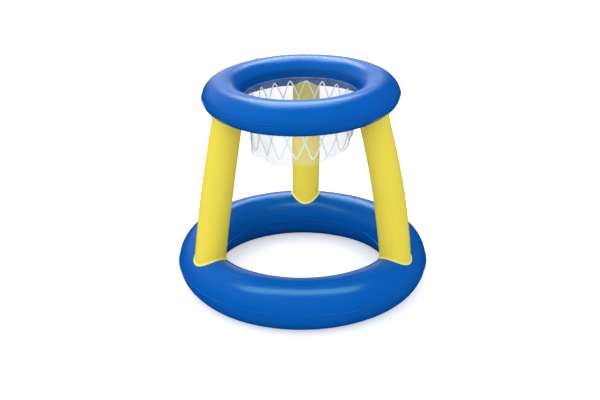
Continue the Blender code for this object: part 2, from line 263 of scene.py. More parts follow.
def addRelief(tree, height, depth, strength):
    bump = addNode(tree, "Bump")
    setInputs(bump, {"Distance": depth, "Strength": strength})
    tree.links.new(height, bump.inputs["Height"])
    return bump.outputs["Normal"]


def addColours(tree, value, low, high, highAt=1.0):
    # Runs from the low colour at 0 to the high one
    ramp = addNode(tree, "ValToRGB")
    ramp.color_ramp.elements[0].color = (*low, 1)
    ramp.color_ramp.elements[1].color = (*high, 1)
    ramp.color_ramp.elements[1].position = highAt
    tree.links.new(value, ramp.inputs["Fac"])
    return ramp.outputs["Color"]


def makeVinylGroup():
    # Tone that varies over a sheet, shade painted into the fold beside the skirt's weld, a duller
    # weld and a fine calendered grain
    group = bpy.data.node_groups.new("vinylSurface", "ShaderNodeTree")
    for way, names in (
        ("INPUT", (
            "Colour", "Weld Colour", "Weld", "Fold", "Tone Scale", "Tone Amount", "Fold Painted Shade",
            "Roughness", "Haze Scale", "Haze Amount", "Weld Dullness", "Grain Scale",
        )),
        ("OUTPUT", ("Colour", "Roughness", "Height")),
    ):
        for name in names:
            kind = "NodeSocketColor" if "Colour" in name else "NodeSocketFloat"
            group.interface.new_socket(name, in_out=way, socket_type=kind)
    given = group.nodes.new("NodeGroupInput")
    result = group.nodes.new("NodeGroupOutput")
    place = addNode(group, "TexCoord").outputs["Object"]

    tone = addNoise(group, place, given.outputs["Tone Scale"], 3)
    swing = addMath(group, "SUBTRACT", tone, 0.5)
    toned = addMath(group, "MULTIPLY", swing, given.outputs["Tone Amount"])
    # Painted shade: the colour is made darker where the fold mask is set
    paintedFoldShade = addMath(group, "MULTIPLY", given.outputs["Fold"], given.outputs["Fold Painted Shade"])
    brightness = addMath(group, "SUBTRACT", addMath(group, "ADD", toned, 1.0), paintedFoldShade)
    level = addNode(group, "HueSaturation")
    group.links.new(brightness, level.inputs["Value"])
    group.links.new(given.outputs["Colour"], level.inputs["Color"])
    blend = addNode(group, "Mix", data_type="RGBA")
    group.links.new(given.outputs["Weld"], blend.inputs["Factor"])
    group.links.new(level.outputs["Color"], blend.inputs["A"])
    group.links.new(given.outputs["Weld Colour"], blend.inputs["B"])
    group.links.new(blend.outputs["Result"], result.inputs["Colour"])

    haze = addNoise(group, place, given.outputs["Haze Scale"], 4)
    hazed = addMath(group, "SUBTRACT", haze, 0.5)
    dull = addMath(group, "MULTIPLY", hazed, given.outputs["Haze Amount"])
    welded = addMath(group, "MULTIPLY", given.outputs["Weld"], given.outputs["Weld Dullness"])
    finish = addMath(group, "ADD", given.outputs["Roughness"], addMath(group, "ADD", dull, welded))
    group.links.new(finish, result.inputs["Roughness"])

    grain = addNoise(group, place, given.outputs["Grain Scale"], 2)
    group.links.new(grain, result.inputs["Height"])
    return group


def makeVinyl(name, colour, group):
    material, tree, shader = newMaterial(name)
    look = vinylLook
    surface = addNode(tree, "Group", node_tree=group)
    setInputs(surface, {
        "Colour": (*colour["base"], 1), "Weld Colour": (*colour["weld"], 1),
        "Tone Scale": look["toneScale"], "Tone Amount": look["toneAmount"],
        "Fold Painted Shade": look["foldPaintedShade"], "Roughness": colour["roughness"],
        "Haze Scale": look["hazeScale"], "Haze Amount": look["hazeAmount"],
        "Weld Dullness": look["weldDullness"], "Grain Scale": look["grainScale"],
    })
    # The fold mask carries the painted shade
    for mask in ("Weld", "Fold"):
        attribute = addNode(tree, "Attribute", attribute_name=mask.lower())
        tree.links.new(attribute.outputs["Fac"], surface.inputs[mask])
    relief = addRelief(tree, surface.outputs["Height"], look["grainDepth"], look["grainStrength"])
    tree.links.new(surface.outputs["Colour"], shader.inputs["Base Color"])
    tree.links.new(surface.outputs["Roughness"], shader.inputs["Roughness"])
    tree.links.new(relief, shader.inputs["Normal"])
    setInputs(shader, {
        "IOR": look["refraction"], "Specular IOR Level": look["shine"],
        "Specular Tint": (*colour["sheen"], 1),
    })
    return material


vinylGroup = makeVinylGroup()
blueVinyl = makeVinyl("blueVinyl", vinylLook["blue"], vinylGroup)
yellowVinyl = makeVinyl("yellowVinyl", vinylLook["yellow"], vinylGroup)
print("Vinyl mixed")


# Rings: two sheets each, welded round the inside and the outside

baseRing = {
    "outerDiameter": 0.610,
    "tubeWidth": 0.1077,
    "tubeHeight": 0.1205,
    "centre": (0, 0, 0.05725),
    "frontLean": 0,
    "sideLean": 0,
    "seamInset": 0,
    "seamDrop": 0,
    "innerLip": 0.0025,
    "lipDroop": 0,
    "steps": 480,
    "seed": 3,
}
hoopRing = {
    "outerDiameter": 0.456,
    "tubeWidth": 0.0913,
    "tubeHeight": 0.0761,
    "centre": (-0.0020, 0, 0.4715),
    "frontLean": 1.62,
    "sideLean": -1.06,
    "seamInset": 0.0031,
    "seamDrop": 0.0038,
    "innerLip": 0.0027,
    "lipDroop": 55,
    "steps": 400,
    "seed": 8,
}
panelShape = {
    "sectionPoints": 96,
    "pinch": 1.9,
    "pullStart": 150,
    "outerLip": 0.0017,
    "seamGap": 0.00012,
    "wall": 0.0003,
    "fillet": 0.0009,
    "outerPucker": 0.00016,
    "outerCounts": (61, 83, 104, 139),
    "innerPucker": 0.00030,
    "innerCounts": (47, 68, 91, 113),
    "puckerReach": 0.010,
    "swell": 0.00035,
    "swellCounts": (3, 5, 8),
    "swellTwist": 0.4,
    "floorSoftness": 0.0012,
    "floorEasing": 8,
    "lipStart": 0.0002,
    "lipFull": 0.0008,
    "weldFull": 0.0012,
    # Width, in degrees round the tube, of the band where shade is painted beside the hoop's inner
    # seam
    "paintedShadeSpan": 15,
}


def pinched(share):
    return np.sign(share) * np.abs(share) ** (2 / panelShape["pinch"])


def unpinched(share):
    return np.sign(share) * np.abs(share) ** (panelShape["pinch"] / 2)


def measureRing(ring):
    ring["radius"] = (ring["outerDiameter"] - ring["tubeWidth"]) / 2
    ring["halfWidth"] = ring["tubeWidth"] / 2
    ring["halfHeight"] = ring["tubeHeight"] / 2
    sideLean = Matrix.Rotation(radians(ring["sideLean"]), 4, "Y")
    frontLean = Matrix.Rotation(radians(ring["frontLean"]), 4, "X")
    ring["place"] = Matrix.Translation(ring["centre"]) @ (sideLean @ frontLean)


def placed(matrix, points):
    matrix = np.array(matrix)
    return points @ matrix[:3, :3].T + matrix[:3, 3]


def ringPoints(ring, azimuth, around, proud=0.0):
    # Points on a ring's skin; around is measured from the outer seam, and proud stands off the skin
    across, up = pinched(np.cos(around)), pinched(np.sin(around))
    slope = panelShape["pinch"] - 1
    normalOut = np.sign(across) * np.abs(across) ** slope / ring["halfWidth"]
    normalUp = np.sign(up) * np.abs(up) ** slope / ring["halfHeight"]
    size = np.hypot(normalOut, normalUp)
    reach = ring["radius"] + across * ring["halfWidth"] + proud * normalOut / size
    height = up * ring["halfHeight"] + proud * normalUp / size
    local = np.stack([reach * np.cos(azimuth), reach * np.sin(azimuth), height], axis=-1)
    return placed(ring["place"], local)


def drawHalfSection(name, ring, side):
    # Half of the tube's section, from the inner weld over the crest to the outer weld
    deselectAll()
    bpy.ops.mesh.primitive_circle_add(
        vertices=panelShape["sectionPoints"], radius=1, rotation=(pi / 2, 0, 0)
    )
    section = newPiece(name)
    applyPlace(section)
    setPoints(section, pinched(pointsOf(section)))
    editWhere(section, lambda point: side * point.z < -nearby)
    bpy.ops.mesh.delete(type="VERT")
    rise = panelShape["seamGap"] / 2 + panelShape["wall"]
    bpy.ops.mesh.select_all(action="SELECT")
    bpy.ops.transform.resize(
        value=(ring["halfWidth"], 1, ring["halfHeight"] - rise), center_override=(0, 0, 0)
    )
    bpy.ops.transform.translate(value=(ring["radius"], 0, side * rise))
    leaveEditMode()
    # The hanging skirt pulls the inner seam in and down
    points = pointsOf(section)
    out = points[:, 0] - ring["radius"]
    around = np.arctan2(np.abs(points[:, 2]) / ring["halfHeight"], out / ring["halfWidth"])
    start = radians(panelShape["pullStart"])
    pull = (np.clip(around - start, 0, None) / (around.max() - start)) ** 2
    points -= np.outer(pull, (ring["seamInset"], 0, ring["seamDrop"]))
    setPoints(section, points)
    droop = radians(ring["lipDroop"])
    innerEnd, outerEnd = points[:, 0].min(), points[:, 0].max()
    for end, edge, lip, fall in (
        (-1, innerEnd, ring["innerLip"], droop), (1, outerEnd, panelShape["outerLip"], 0)
    ):
        # A drooping lip keeps the two sheets apart square to itself
        editWhere(section, lambda point: abs(point.x - edge) < nearby)
        aside, down = side * rise * sin(fall), side * rise * (1 - cos(fall))
        bpy.ops.transform.translate(value=(-aside, 0, -down))
        bpy.ops.mesh.extrude_vertices_move(
            TRANSFORM_OT_translate={"value": (end * lip * cos(fall), 0, -lip * sin(fall))}
        )
        editWhere(section, lambda point: abs(point.x - edge + aside) < nearby)
        bpy.ops.mesh.bevel(offset=panelShape["fillet"], segments=3, affect="VERTICES")
    leaveEditMode()
    return section


def spinSection(section, steps):
    editAll(section)
    bpy.ops.mesh.spin(
        steps=steps, angle=2 * pi, center=(0, 0, 0), axis=(0, 0, 1), use_auto_merge=True
    )
    closeSkin()


def faceOutwards(piece, side):
    # An open half tube can be turned either way, so its crest decides
    crest = max(piece.data.polygons, key=lambda face: side * face.center.z)
    if side * crest.normal.z < 0:
        editAll(piece)
        bpy.ops.mesh.flip_normals()
        leaveEditMode()


def puckerPanel(piece, ring, side):
    # Small gathers beside the welds, a slow unevenness all over, and the flat where it stands
    shape, seed = panelShape, ring["seed"]
    points = pointsOf(piece)
    azimuth = np.arctan2(points[:, 1], points[:, 0])
    out = np.hypot(points[:, 0], points[:, 1]) - ring["radius"]
    around = np.arctan2(np.abs(points[:, 2]) / ring["halfHeight"], out / ring["halfWidth"])
    tube = (ring["halfWidth"] + ring["halfHeight"]) / 2
    push = np.zeros_like(around)
    for seam, order, fromSeam in (("outer", 0, around * tube), ("inner", 1, (pi - around) * tube)):
        gathers = shape[seam + "Pucker"] * ripple(azimuth, seed + order, shape[seam + "Counts"])
        push += gathers * np.exp(-(fromSeam / shape["puckerReach"]) ** 2)
    twisted = azimuth + shape["swellTwist"] * around
    push += shape["swell"] * ripple(twisted, seed + 2, shape["swellCounts"])
    lip = smoothRamp(np.abs(out) - ring["halfWidth"], shape["lipStart"], shape["lipFull"])
    skin = push * (1 - lip)
    points[:, 0] += skin * np.cos(around) * np.cos(azimuth)
    points[:, 1] += skin * np.cos(around) * np.sin(azimuth)
    points[:, 2] += skin * np.sin(around) * side + push * lip
    if side < 0 and ring is baseRing:
        floor, soft = -ring["centre"][2], shape["floorSoftness"]
        over = points[:, 2] - floor
        eased = soft * np.logaddexp(0, over / soft)
        points[:, 2] = floor + np.where(over > shape["floorEasing"] * soft, over, eased)
    setPoints(piece, points)
    seamOut = ring["halfWidth"] + np.where(out < 0, ring["seamInset"], 0)
    weld = smoothRamp(np.abs(out) - seamOut, shape["lipStart"], shape["weldFull"])
    setMask(piece, "weld", weld)
    # Marks the band beside the skirt's weld where shade is painted on the hoop's inner wall
    if ring["seamInset"]:
        start, end = radians(shape["pullStart"]), radians(shape["pullStart"] + shape["paintedShadeSpan"])
        setMask(piece, "fold", smoothRamp(around, start, end))


def makePanel(name, ring, side, node):
    panel = drawHalfSection(name, ring, side)
    spinSection(panel, ring["steps"])
    faceOutwards(panel, side)
    puckerPanel(panel, ring, side)
    panel.data.transform(ring["place"])
    giveWall(panel, panelShape["wall"])
    finishPiece(panel, blueVinyl, "blue_vinyl", "float", node)
    return panel


for ring in (baseRing, hoopRing):
    measureRing(ring)
baseTop = makePanel("baseRingTopSheet", baseRing, 1, "base_ring_upper_panel")
baseBottom = makePanel("baseRingBottomSheet", baseRing, -1, "base_ring_lower_panel")
hoopTop = makePanel("hoopRingTopSheet", hoopRing, 1, "hoop_ring_upper_panel")
makePanel("hoopRingBottomSheet", hoopRing, -1, "hoop_ring_lower_panel")
print("Rings welded")


# Posts: each is a sheet rolled into a tube with a lapped seam, its mouths turned out and welded on

postShape = {
    "footDiameter": 0.0710,
    "headDiameter": 0.067,
    "belly": 0.0015,
    "footReach": 40.2,
    "headReach": 58.5,
    "footLip": 0.0042,
    "headLip": 0.0030,
    "standOff": 0.0006,
    "footFillet": 0.0030,
    "headFillet": 0.0022,
    "columns": 200,
    "wallRows": 96,
    "filletRows": 7,
    "lipRows": 4,
    "lap": 0.020,
    "lapStep": 0.00034,
    "wall": 0.00025,
    "lapEasing": 0.05,
    "creaseDepth": 0.00045,
    "creaseReach": 0.013,
    "creaseCounts": (7, 11, 16),
    "unevenness": 0.00035,
    "unevenCounts": (2, 3),
    "unevenTwist": 3,
    "settling": 0.004,
    "fill": 0.15,
}
posts = {
    "rearPost": {
        "foot": 87.7, "head": 85.8, "bow": 0.005, "innerReach": 43.5,
        "node": "rear_post", "seed": 21,
    },
    "leftPost": {
        "foot": 210, "head": 206.5, "bow": 0.00275, "innerReach": 50,
        "node": "left_post", "seed": 32,
    },
    "rightPost": {
        "foot": 330, "head": 330, "bow": 0.0085, "innerReach": 50,
        "node": "right_post", "seed": 47,
    },
}


def makeMouth(ring, side, diameter, outerReach, innerReach, lip, fillet):
    return {
        "ring": ring,
        "side": side,
        "radius": diameter / 2,
        "outerHalf": ring["halfWidth"] * pinched(sin(radians(outerReach))),
        "innerHalf": ring["halfWidth"] * pinched(sin(radians(innerReach))),
        "lip": lip,
        "fillet": fillet,
    }


def halfWidths(mouth, turn):
    return np.where(np.cos(turn) > 0, mouth["outerHalf"], mouth["innerHalf"])


def mouthPoints(mouth, azimuth, turn, spread=0.0):
    # Where a post's wall meets the ring, or the lip that is turned out by the spread
    ring = mouth["ring"]
    out = halfWidths(mouth, turn) * np.cos(turn)
    along = mouth["radius"] * np.sin(turn)
    beside = np.hypot(ring["radius"] + out, along) - ring["radius"]
    slant = np.arcsin(unpinched(beside / ring["halfWidth"]))
    shift = np.arctan2(along, ring["radius"] + out)
    tube = (ring["halfWidth"] + ring["halfHeight"]) / 2
    length = np.hypot(slant * tube, shift * ring["radius"])
    grown = (length + spread) / length
    around = mouth["side"] * (pi / 2 - slant * grown)
    return ringPoints(ring, azimuth + shift * grown, around, postShape["standOff"])


def mouthRows(mouth, azimuth, turn, wallEnd):
    # From the lip's rim inwards, round the fillet and up to the wall
    rows = []
    for row in range(postShape["lipRows"]):
        share = row / postShape["lipRows"]
        spread = mouth["lip"] + (mouth["fillet"] - mouth["lip"]) * share
        rows.append(mouthPoints(mouth, azimuth, turn, spread))
    start = mouthPoints(mouth, azimuth, turn, mouth["fillet"])
    corner = mouthPoints(mouth, azimuth, turn)
    for row in range(postShape["filletRows"]):
        share = row / postShape["filletRows"]
        bend = (1 - share) ** 2 * start + 2 * share * (1 - share) * corner
        rows.append(bend + share ** 2 * wallEnd)
    return rows


def makePost(name, place):
    shape, seed = postShape, place["seed"]
    footAzimuth, headAzimuth = radians(place["foot"]), radians(place["head"])
    facing = (footAzimuth + headAzimuth) / 2
    outward = np.array((cos(facing), sin(facing), 0))
    sideways = np.array((-sin(facing), cos(facing), 0))
    columns = shape["columns"]
    turn = pi + 2 * pi * (1 + shape["lap"]) * np.arange(columns + 1) / columns
    foot = makeMouth(
        baseRing, 1, shape["footDiameter"], shape["footReach"], place["innerReach"],
        shape["footLip"], shape["footFillet"],
    )
    head = makeMouth(
        hoopRing, -1, shape["headDiameter"], shape["headReach"], shape["headReach"],
        shape["headLip"], shape["headFillet"],
    )
    footCorner = mouthPoints(foot, footAzimuth, turn)
    headCorner = mouthPoints(head, headAzimuth, turn)
    axis = headCorner.mean(0) - footCorner.mean(0)
    height = np.linalg.norm(axis)
    axis /= height
    low = footCorner + axis * foot["fillet"]
    high = headCorner - axis * head["fillet"]
    radial = np.outer(np.cos(turn), outward) + np.outer(np.sin(turn), sideways)

    wall = []
    for row in range(shape["wallRows"] + 1):
        share = row / shape["wallRows"]
        bulge = sin(pi * share)
        radius = foot["radius"] + (head["radius"] - foot["radius"]) * share
        halfWidth = halfWidths(foot, turn) * (1 - share) + halfWidths(head, turn) * share
        swell = (radius - halfWidth) * max(bulge, 0) ** shape["fill"]
        push = swell * np.cos(turn) + place["bow"] * 4 * share * (1 - share)
        fromEnd = min(share, 1 - share) * height
        depth = shape["creaseDepth"] * np.exp(-fromEnd / shape["creaseReach"])
        crease = depth * ripple(turn, seed + (share > 0.5), shape["creaseCounts"])
        waves = ripple(turn + shape["unevenTwist"] * share, seed + 5, shape["unevenCounts"])
        uneven = shape["unevenness"] * waves * bulge + shape["belly"] * bulge
        settle = smoothRamp(np.array(fromEnd), 0, shape["settling"])
        wall.append(
            low + (high - low) * share + np.outer(push, outward)
            + radial * ((crease + uneven) * settle)[:, None]
        )
    rows = mouthRows(foot, footAzimuth, turn, wall[0]) + wall
    rows += mouthRows(head, headAzimuth, turn, wall[-1])[::-1]
    lapped = smoothRamp(turn, 3 * pi - shape["lapEasing"], 3 * pi)
    table = np.stack(rows) + radial * (lapped * shape["lapStep"])[:, None]

    deselectAll()
    bpy.ops.mesh.primitive_grid_add(x_subdivisions=columns, y_subdivisions=len(rows) - 1, size=1)
    post = newPiece(name)
    flat = pointsOf(post)
    column = np.rint((flat[:, 0] + 0.5) * columns).astype(int)
    row = np.rint((flat[:, 1] + 0.5) * (len(rows) - 1)).astype(int)
    setPoints(post, table[row, column])
    fromRim = np.minimum(row, len(rows) - 1 - row).astype(float)
    wallStart = shape["lipRows"] + shape["filletRows"]
    setMask(post, "weld", 1 - smoothRamp(fromRim, shape["lipRows"] - 1, wallStart))
    giveWall(post, shape["wall"])
    finishPiece(post, yellowVinyl, "yellow_vinyl", "float", place["node"])


for postName, postPlace in posts.items():
    makePost(postName, postPlace)
print("Posts rolled")


# Net skirt: a strip of clear film hung inside the hoop, with the net printed on it in two zigzags

skirtShape = {
    "weldInset": 0.0006,
    "standOff": 0.0006,
    "peakInset": 0.0022,
    "hemInset": 0.0127,
    "wall": 0.0002,
    "hem": 0.0149,
    "hemShift": 0.0045,
    "hemTilt": 0.0070,
    "hemRise": 0.0075,
    "hemEasing": 6,
    "sag": 0.0254,
    "folds": 9,
    "foldAzimuth": 245,
    "foldDepth": 0.0030,
    "foldFall": 0.0020,
    "foldDrift": 0.25,
    "foldVariety": 0.2,
    "foldPhase": 1.0,
    "crumples": 29,
    "crumpleShare": 0.25,
    "crumplePhase": 2.0,
    "columns": 540,
    "rows": 60,
}
netShape = {
    "repeats": 20,
    "azimuth": 83.8,
    "line": 0.0033,
    "margin": 0.0053,
    "halfHeight": 0.0405,
    "corner": 0.93,
    "columns": 800,
    "thickness": 0.00012,
    "insets": (0.00045, 0.00070),
}


def weldPoint(along):
    # Reach and drop of the film where it is welded on the hoop's drooping inner lip
    droop, off = radians(hoopRing["lipDroop"]), skirtShape["standOff"]
    seamReach = hoopRing["radius"] - hoopRing["halfWidth"] - hoopRing["seamInset"]
    reach = seamReach - along * cos(droop) - off * sin(droop)
    return reach, hoopRing["seamDrop"] + along * sin(droop) - off * cos(droop)


def skirtDrops():
    peak = weldPoint(hoopRing["innerLip"])[1] + netShape["margin"] + netShape["line"] / 2
    cross = peak + netShape["halfHeight"]
    hem = cross + netShape["halfHeight"] + netShape["line"] / 2 + skirtShape["hem"]
    return {"peak": peak, "cross": cross, "hem": hem}


drops = skirtDrops()


def skirtPoints(azimuth, drop, inset):
    # A point of the film at a drop below the hoop's seam
    shape, peak, hem = skirtShape, drops["peak"], drops["hem"]
    topReach, top = weldPoint(shape["weldInset"])
    lipReach, lip = weldPoint(hoopRing["innerLip"])
    reaches = (topReach, lipReach, lipReach - shape["peakInset"], lipReach - shape["hemInset"])
    share = np.clip((drop - peak) / (hem - peak), 0, 1)
    ease = share ** shape["hemEasing"]
    fold = shape["folds"] * (azimuth - radians(shape["foldAzimuth"]))
    wave = np.cos(fold + shape["foldDrift"] * np.sin(2 * azimuth))
    wave *= 1 + shape["foldVariety"] * np.cos(3 * azimuth + shape["foldPhase"])
    crumple = np.cos(shape["crumples"] * azimuth + shape["crumplePhase"])
    crumple *= shape["crumpleShare"] * share
    radius = np.interp(drop, (top, lip, peak, hem), reaches)
    radius += shape["foldDepth"] * (wave + crumple) * share - inset
    front = (1 - np.sin(azimuth)) / 2
    sag = shape["sag"] * front * front * (3 - 2 * front) * smoothRamp(drop, lip, peak)
    side = np.cos(azimuth)
    fall = drop + sag + (shape["foldFall"] * wave - shape["hemTilt"] * side) * ease
    fall -= shape["hemRise"] * side ** 2 * np.clip((drop - hem) / shape["hem"] + 1, 0, 1)
    local = np.stack([
        radius * np.cos(azimuth) - shape["hemShift"] * ease, radius * np.sin(azimuth), -fall
    ], axis=-1)
    return placed(hoopRing["place"], local)


def rollGrid(name, columns, rows, pointsAt):
    # A flat grid rolled up into a closed band
    deselectAll()
    bpy.ops.mesh.primitive_grid_add(x_subdivisions=columns, y_subdivisions=rows, size=1)
    band = newPiece(name)
    flat = pointsOf(band)
    setPoints(band, pointsAt(2 * pi * (flat[:, 0] + 0.5), flat[:, 1] + 0.5))
    editAll(band)
    bpy.ops.mesh.remove_doubles(threshold=nearby)
    leaveEditMode()
    return band


def makeFilm():
    top, hem = weldPoint(skirtShape["weldInset"])[1], drops["hem"]

    def pointsAt(turn, share):
        return skirtPoints(turn, hem + (top - hem) * share, 0)

    film = rollGrid("netSkirtFilm", skirtShape["columns"], skirtShape["rows"], pointsAt)
    giveWall(film, skirtShape["wall"])
    return film


def makeZigzag(name, start, inset):
    # One printed line that runs up and down between the top and the bottom of the net
    corner = netShape["corner"]
    scale = netShape["halfHeight"] / np.arcsin(corner)
    inward = (skirtShape["peakInset"] + skirtShape["hemInset"]) / 2
    reach = weldPoint(hoopRing["innerLip"])[0] - inward

    def pointsAt(turn, share):
        phase = netShape["repeats"] / 2 * (turn - radians(netShape["azimuth"])) + start
        drop = drops["cross"] - scale * np.arcsin(corner * np.cos(phase))
        slope = scale * corner * np.sin(phase) / np.sqrt(1 - (corner * np.cos(phase)) ** 2)
        slope *= netShape["repeats"] / 2 / reach
        length = np.sqrt(1 + slope ** 2)
        offset = netShape["line"] * (0.5 - share)
        return skirtPoints(turn - offset * slope / length / reach, drop + offset / length, inset)

    zigzag = rollGrid(name, netShape["columns"], 2, pointsAt)
    giveWall(zigzag, netShape["thickness"])
    return zigzag


filmLook = {
    "straightOn": (0.68, 0.79, 0.92),
    "edgeOn": (0.22, 0.44, 0.64),
    "edgeStart": 0.35,
    "edgeBlend": 0.45,
    "edgePower": 2.0,
    "edgeHaze": 0.30,
    "mottle": 0.14,
    "mottleScale": 22.0,
    "roughness": 0.30,
    "refraction": 1.45,
    "shine": 0.6,
}
printLook = {
    "thin": (0.76, 0.79, 0.82),
    "full": (0.87, 0.89, 0.91),
    "coverScale": 420.0,
    "roughness": 0.5,
    "cover": 0.88,
}


def makeFilmMaterial():
    # Clear film: a faint white veil seen straight on, a bluish haze where it is seen edge on
    material, tree, shader = newMaterial("clearFilm")
    look = filmLook
    setInputs(shader, {"IOR": look["refraction"], "Specular IOR Level": look["shine"]})
    place = addNode(tree, "TexCoord").outputs["Object"]
    cloud = addNoise(tree, place, look["mottleScale"], 1)
    dull = addMath(tree, "MULTIPLY", cloud, look["roughness"])
    tree.links.new(dull, shader.inputs["Roughness"])
    facing = addNode(tree, "LayerWeight")
    facing.inputs["Blend"].default_value = look["edgeBlend"]
    edge = addMath(tree, "POWER", facing.outputs["Facing"], look["edgePower"])
    tint = addColours(tree, edge, look["straightOn"], look["edgeOn"], look["edgeStart"])
    tree.links.new(tint, shader.inputs["Base Color"])
    haze = addMath(tree, "MULTIPLY", edge, look["edgeHaze"])
    mottle = addMath(tree, "MULTIPLY", cloud, look["mottle"])
    tree.links.new(addMath(tree, "ADD", haze, mottle), shader.inputs["Alpha"])
    return material


def makePrintMaterial():
    # White ink with uneven cover
    material, tree, shader = newMaterial("whitePrint")
    place = addNode(tree, "TexCoord").outputs["Object"]
    cover = addNoise(tree, place, printLook["coverScale"], 3)
    ink = addColours(tree, cover, printLook["thin"], printLook["full"])
    tree.links.new(ink, shader.inputs["Base Color"])
    setInputs(shader, {"Roughness": printLook["roughness"], "Alpha": printLook["cover"]})
    return material


clearFilm = makeFilmMaterial()
whitePrint = makePrintMaterial()
film = makeFilm()
finishPiece(film, clearFilm, "clear_film", "float", "net_film")
printLines = []
for index, inset in enumerate(netShape["insets"]):
    line = makeZigzag("netPrintLine" + str(index + 1), pi * index, inset)
    finishPiece(line, whitePrint, "white_print", "float", "net_lattice")
    printLines.append(line)
print("Skirt hung and printed")


# Valves: a moulded flange on each ring, with a stem that pulls out, a cap and a check flap

valveShape = {
    "bore": 0.0030,
    "stemRadius": 0.0045,
    "collarBore": 0.0048,
    "collarRadius": 0.0066,
    "collarFoot": (0.0006, 0.0004),
    "flangeRadius": 0.013,
    "flangeTop": 0.0011,
    "flangeBottom": 0.0003,
    "ridges": (0.0097, 0.0113),
    "ridgeHeight": 0.00015,
    "laidReach": 0.001,
    "laidHeight": 0.0004,
    "collarTop": 0.0028,
    "rimBottom": 0.0031,
    "rimTop": 0.0043,
    "stopTop": -0.0123,
    "stopBottom": -0.0135,
    "stopRadius": 0.0056,
    "holeRadius": 0.0063,
    "holeDepth": 0.012,
    "edge": 0.0003,
    "fineEdge": 0.0002,
    "wideEdge": 0.0004,
    "capBottom": 0.0046,
    "capTop": 0.0056,
    "plugRadius": 0.0027,
    "plugTip": 0.0018,
    "plugBottom": 0.0003,
    "dishRadius": 0.0046,
    "dishMiddle": 0.0010,
    "capHinge": 0.0080,
    "hingeOverlap": 0.0006,
    "strapStart": 0.0055,
    "strapWidth": 0.0040,
    "strapThickness": 0.0007,
    "strapRounding": 0.3,
    "tabReach": 0.0096,
    "flapRadius": 0.0039,
    "flapTop": -0.0138,
    "flapBottom": -0.0142,
    "flapEdge": 0.0001,
    "flapHinge": 0.0050,
    "flapTabStart": 0.0030,
    "flapTabWidth": 0.0030,
    "flapTabThickness": 0.0003,
    "sides": 48,
    "holeSides": 40,
}
valves = {
    "base": {"ring": baseRing, "panel": baseTop, "azimuth": 60, "around": 40},
    "hoop": {"ring": hoopRing, "panel": hoopTop, "azimuth": 120, "around": 40},
}
joints = {joint["name"]: joint for joint in frame["joints"]}


def valveFrame(valveName):
    # X along the ring, Y round its tube and Z out of the sheet, from the joints
    slide = joints[valveName + "_stem_slide"]
    out = Vector(slide["axis"]).normalized()
    roundTube = Vector(joints[valveName + "_cap_hinge"]["axis"]).normalized()
    axes = Matrix((roundTube.cross(out), roundTube, out)).transposed()
    return Matrix.Translation(slide["pos_m"]) @ axes.to_4x4()


def latheRings(name, outline, closed):
    # A circle is extruded from ring to ring of the outline, as on a lathe
    deselectAll()
    firstRadius, firstHeight = outline[0]
    bpy.ops.mesh.primitive_circle_add(
        vertices=valveShape["sides"], radius=firstRadius, location=(0, 0, firstHeight)
    )
    piece = newPiece(name)
    applyPlace(piece)
    editAll(piece)
    radius, height = firstRadius, firstHeight
    for nextRadius, nextHeight in outline[1:] + (outline[:1] if closed else ()):
        bpy.ops.mesh.extrude_region_move(
            TRANSFORM_OT_translate={"value": (0, 0, nextHeight - height)}
        )
        grow = nextRadius / radius
        bpy.ops.transform.resize(value=(grow, grow, 1), center_override=(0, 0, nextHeight))
        radius, height = nextRadius, nextHeight
    if not closed:
        bpy.ops.mesh.edge_face_add()
        editWhere(piece, lambda point: abs(point.z - firstHeight) < nearby)
        bpy.ops.mesh.edge_face_add()
    closeSkin()
    return piece


def addStrap(piece, low, high):
    # A moulded strap or tab with rounded ends, grown out of the piece
    low, high = Vector(low), Vector(high)
    deselectAll()
    bpy.ops.mesh.primitive_cube_add(size=1, location=(low + high) / 2, scale=high - low)
    strap = newPiece("strap")
    applyPlace(strap)
    editAll(strap)
    rounding = min(high - low) * valveShape["strapRounding"]
    bpy.ops.mesh.bevel(offset=rounding, segments=3, affect="EDGES")
    leaveEditMode()
    cutWith(piece, strap, "UNION")


def addFlatStrap(piece, start, end, middle, width, thickness):
    # A strap along X at the height of its middle
    addStrap(
        piece, (start, -width / 2, middle - thickness / 2), (end, width / 2, middle + thickness / 2)
    )


def makeFlange(name, valve, place):
    shape = valveShape
    radius, top, bottom = shape["flangeRadius"], shape["flangeTop"], shape["flangeBottom"]
    footOut, footUp = shape["collarFoot"]
    ridges = []
    for ridge in shape["ridges"]:
        ridges += [
            (ridge - shape["edge"], top), (ridge, top + shape["ridgeHeight"]),
            (ridge + shape["edge"], top),
        ]
    outline = (
        (shape["collarBore"], bottom),
        (shape["collarBore"], shape["collarTop"]),
        (shape["collarRadius"], shape["collarTop"]),
        (shape["collarRadius"], top + footUp),
        (shape["collarRadius"] + footOut, top),
        *ridges,
        (radius - shape["wideEdge"], top - shape["fineEdge"]),
        (radius, bottom + shape["fineEdge"]),
        (radius, bottom),
    )
    flange = latheRings(name, outline, True)
    points = pointsOf(flange)
    # The disc is laid on the curved sheet and the collar stays square to the valve
    ring, around = valve["ring"], radians(valve["around"])
    azimuth = radians(valve["azimuth"])
    step = 1e-4
    onSheet = ringPoints(ring, azimuth, np.array([around, around + step]))
    speed = np.linalg.norm(onSheet[1] - onSheet[0]) / step
    reach = ring["radius"] + pinched(cos(around)) * ring["halfWidth"]
    across, along, up = points.T
    laid = ringPoints(ring, azimuth + across / reach, around + along / speed, up)
    square = placed(place, points)
    start = shape["collarRadius"]
    follows = smoothRamp(np.hypot(across, along), start, start + shape["laidReach"])
    follows = np.where(up < shape["laidHeight"], 1.0, follows)[:, None]
    setPoints(flange, square * (1 - follows) + laid * follows)
    return flange


